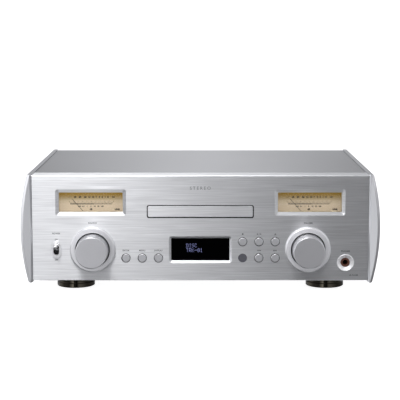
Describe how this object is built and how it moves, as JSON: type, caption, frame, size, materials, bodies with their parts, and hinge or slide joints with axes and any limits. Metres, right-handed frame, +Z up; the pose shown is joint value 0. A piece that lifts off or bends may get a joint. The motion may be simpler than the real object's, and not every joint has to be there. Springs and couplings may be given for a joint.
{
  "type": "cd player",
  "caption": "Full-width compact disc player and receiver with two lit needle meters, two large knobs, a disc tray, front buttons and bowed metal side panels.",
  "frame": {"origin": "on the floor under the middle of the whole machine", "axes": "+X to the right seen from the front, -Y out of the front, +Z up"},
  "size_m": [0.442, 0.348, 0.1519],
  "materials": {
    "brushed_aluminium": "brushed across, clear anodised",
    "side_aluminium": "fine bead blasted, anodised",
    "cover_satin": "satin anodised",
    "knob_aluminium": "turned, fine satin",
    "button_aluminium": "turned, fine satin",
    "dark_steel": "black plated sheet",
    "zinc_steel": "zinc plated sheet",
    "rear_steel": "fine matte black paint",
    "foot_nickel": "dark polished nickel",
    "spike_steel": "turned steel",
    "switch_plastic": "moulded black",
    "meter_plastic": "moulded ivory",
    "dial_card": "printed, lit from above",
    "meter_glass": "clear",
    "needle_black": "matte black",
    "coil_iron": "turned",
    "display_glass": "smoked, glossy",
    "display_parts": "moulded black",
    "ir_plastic": "dark smoked",
    "board_green": "green solder resist",
    "bright_trim": "bright, satin",
    "jack_copper": "moulded brown",
    "tray_plastic": "moulded, fine texture",
    "transport_plastic": "moulded, fine texture",
    "gear_plastic": "natural acetal",
    "spindle_steel": "turned",
    "pickup_black": "moulded black",
    "core_iron": "copper winding under amber tape",
    "can_sleeve": "shrink sleeve",
    "black_fins": "black anodised",
    "inlet_black": "moulded black",
    "gold_plate": "gold plated",
    "post_plastic": "moulded",
    "socket_shell": "tinned shell",
    "screw_steel": "black zinc"
  },
  "bodies": {
    "cabinet": {"front_panel": "brushed_aluminium", "inner_front": "dark_steel", "chassis_pan": "zinc_steel", "top_cover": "cover_satin", "side_panel_left": "side_aluminium", "side_panel_right": "side_aluminium", "rear_panel": "rear_steel", "foot_cups": "foot_nickel", "foot_spikes": "spike_steel", "foot_dishes": "foot_nickel", "knob_rings": "knob_aluminium", "knob_encoders": "switch_plastic", "meter_housings": "meter_plastic", "meter_dial_left": "dial_card", "meter_dial_right": "dial_card", "meter_glass_left": "meter_glass", "meter_glass_right": "meter_glass", "meter_coils": "coil_iron", "display_window": "display_glass", "display_module": "display_parts", "ir_window": "ir_plastic", "button_boards": "board_green", "power_escutcheon": "bright_trim", "power_switch": "switch_plastic", "phones_ring": "bright_trim", "phones_jack": "jack_copper", "transport_base": "transport_plastic", "loading_motor": "zinc_steel", "clamp_bridge": "dark_steel", "transformer": "core_iron", "circuit_boards": "board_green", "capacitors": "can_sleeve", "heatsink": "black_fins", "mains_inlet": "inlet_black", "line_jacks": "gold_plate", "speaker_posts": "post_plastic", "digital_sockets": "socket_shell", "case_screws": "screw_steel"},
    "disc_drawer": {"tray": "tray_plastic", "tray_door": "brushed_aluminium"},
    "pinion": {"loading_gear": "gear_plastic"},
    "traverse_deck": {"traverse": "zinc_steel"},
    "turntable": {"spindle": "spindle_steel"},
    "laser_sled": {"pickup_sled": "pickup_black"},
    "disc_clamp": {"clamp_puck": "transport_plastic"},
    "source_dial": {"source_knob": "knob_aluminium", "source_shaft": "zinc_steel"},
    "volume_dial": {"volume_knob": "knob_aluminium", "volume_shaft": "zinc_steel"},
    "power_toggle": {"power_lever": "bright_trim"},
    "left_needle": {"needle_left": "needle_black"},
    "right_needle": {"needle_right": "needle_black"},
    "enter_key": {"enter_button": "button_aluminium"},
    "menu_key": {"menu_button": "button_aluminium"},
    "display_key": {"display_button": "button_aluminium"},
    "stop_key": {"stop_button": "button_aluminium"},
    "play_key": {"play_button": "button_aluminium"},
    "eject_key": {"eject_button": "button_aluminium"},
    "back_key": {"back_button": "button_aluminium"},
    "forward_key": {"forward_button": "button_aluminium"}
  },
  "joints": [
    {"name": "tray_slide", "type": "slide", "parent": "cabinet", "child": "disc_drawer", "axis": [0, -1, 0], "range_m": [0, 0.12566]},
    {"name": "pinion_spin", "type": "hinge", "parent": "cabinet", "child": "pinion", "pos_m": [0.045, -0.128, 0.1], "axis": [0, 0, 1], "range_deg": [-1029.57, 0.5]},
    {"name": "traverse_tilt", "type": "hinge", "parent": "cabinet", "child": "traverse_deck", "pos_m": [0, 0.004, 0.0915], "axis": [1, 0, 0], "range_deg": [0, 4]},
    {"name": "turntable_spin", "type": "hinge", "parent": "traverse_deck", "child": "turntable", "pos_m": [0, -0.08, 0.1], "axis": [0, 0, 1], "continuous": true},
    {"name": "sled_slide", "type": "slide", "parent": "traverse_deck", "child": "laser_sled", "axis": [0, 1, 0], "range_m": [0, 0.035]},
    {"name": "clamp_spin", "type": "hinge", "parent": "cabinet", "child": "disc_clamp", "pos_m": [0, -0.08, 0.114], "axis": [0, 0, 1], "continuous": true},
    {"name": "source_turn", "type": "hinge", "parent": "cabinet", "child": "source_dial", "pos_m": [-0.1323, -0.148, 0.059], "axis": [0, 1, 0], "continuous": true},
    {"name": "volume_turn", "type": "hinge", "parent": "cabinet", "child": "volume_dial", "pos_m": [0.1323, -0.148, 0.059], "axis": [0, 1, 0], "continuous": true},
    {"name": "power_flip", "type": "hinge", "parent": "cabinet", "child": "power_toggle", "pos_m": [-0.177, -0.139, 0.0586], "axis": [1, 0, 0], "range_deg": [0, 32]},
    {"name": "needle_swing_left", "type": "hinge", "parent": "cabinet", "child": "left_needle", "pos_m": [-0.1342, -0.138, 0.0937], "axis": [0, 1, 0], "range_deg": [0, 82.8], "stiffness_Nm_per_rad": 0.00002, "springref_deg": -17.19},
    {"name": "needle_swing_right", "type": "hinge", "parent": "cabinet", "child": "right_needle", "pos_m": [0.1342, -0.138, 0.0937], "axis": [0, 1, 0], "range_deg": [0, 82.8], "stiffness_Nm_per_rad": 0.00002, "springref_deg": -17.19},
    {"name": "enter_press", "type": "slide", "parent": "cabinet", "child": "enter_key", "axis": [0, 1, 0], "range_m": [0, 0.0012], "stiffness_N_per_m": 400, "springref_m": -0.001},
    {"name": "menu_press", "type": "slide", "parent": "cabinet", "child": "menu_key", "axis": [0, 1, 0], "range_m": [0, 0.0012], "stiffness_N_per_m": 400, "springref_m": -0.001},
    {"name": "display_press", "type": "slide", "parent": "cabinet", "child": "display_key", "axis": [0, 1, 0], "range_m": [0, 0.0012], "stiffness_N_per_m": 400, "springref_m": -0.001},
    {"name": "stop_press", "type": "slide", "parent": "cabinet", "child": "stop_key", "axis": [0, 1, 0], "range_m": [0, 0.0012], "stiffness_N_per_m": 400, "springref_m": -0.001},
    {"name": "play_press", "type": "slide", "parent": "cabinet", "child": "play_key", "axis": [0, 1, 0], "range_m": [0, 0.0012], "stiffness_N_per_m": 400, "springref_m": -0.001},
    {"name": "eject_press", "type": "slide", "parent": "cabinet", "child": "eject_key", "axis": [0, 1, 0], "range_m": [0, 0.0012], "stiffness_N_per_m": 400, "springref_m": -0.001},
    {"name": "back_press", "type": "slide", "parent": "cabinet", "child": "back_key", "axis": [0, 1, 0], "range_m": [0, 0.0012], "stiffness_N_per_m": 400, "springref_m": -0.001},
    {"name": "forward_press", "type": "slide", "parent": "cabinet", "child": "forward_key", "axis": [0, 1, 0], "range_m": [0, 0.0012], "stiffness_N_per_m": 400, "springref_m": -0.001}
  ],
  "couplings": [
    {"joint": "pinion_spin", "follows": "tray_slide", "rad_per_m": -142.86},
    {"joint": "clamp_spin", "follows": "turntable_spin", "ratio": 1}
  ]
}
